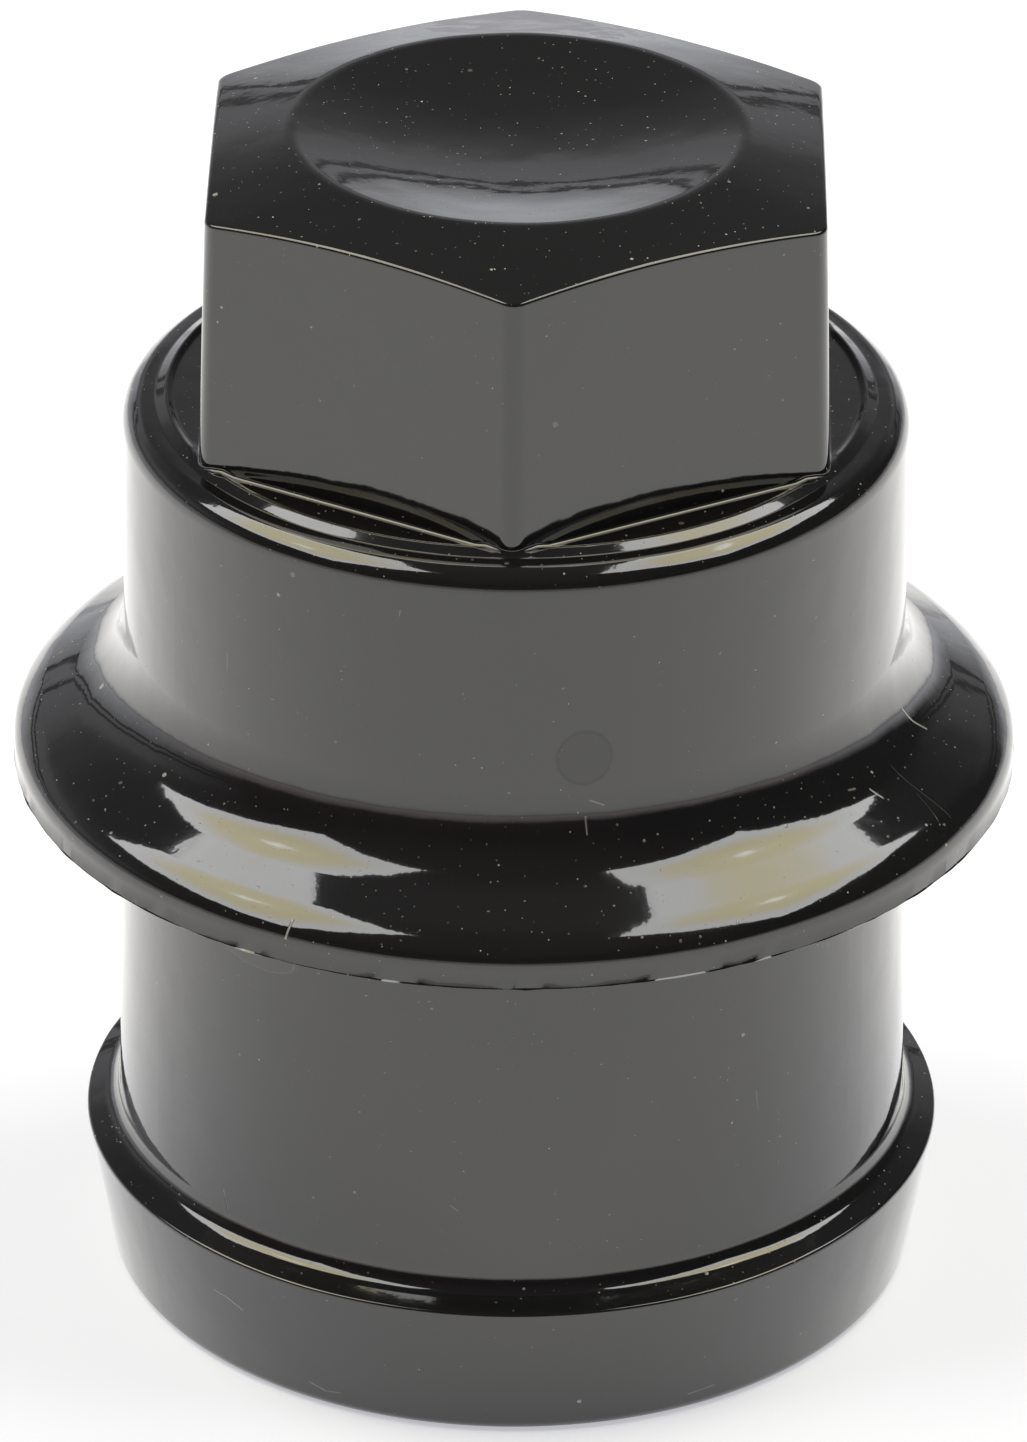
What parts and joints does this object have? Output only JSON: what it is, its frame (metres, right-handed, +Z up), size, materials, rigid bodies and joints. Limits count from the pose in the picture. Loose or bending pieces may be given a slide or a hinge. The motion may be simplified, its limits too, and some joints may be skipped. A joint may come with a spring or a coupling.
{
  "type": "wheel nut cover cap",
  "caption": "Gloss black moulded wheel nut cover: hexagon head with a dished crown, flanged body, snap lip, and an open threaded bore that screws over the nut.",
  "frame": {"origin": "centre of the mouth's rim, on the plane that the cap stands on", "axes": "+Z up the axis from the open mouth to the dished crown; a corner of the hexagon points to -Y"},
  "size_m": [0.036, 0.036, 0.0445],
  "materials": {
    "black_plastic": "black, gloss moulded, with dust specks and fine handling scratches"
  },
  "bodies": {
    "root": {"cap": "black_plastic"}
  },
  "joints": []
}
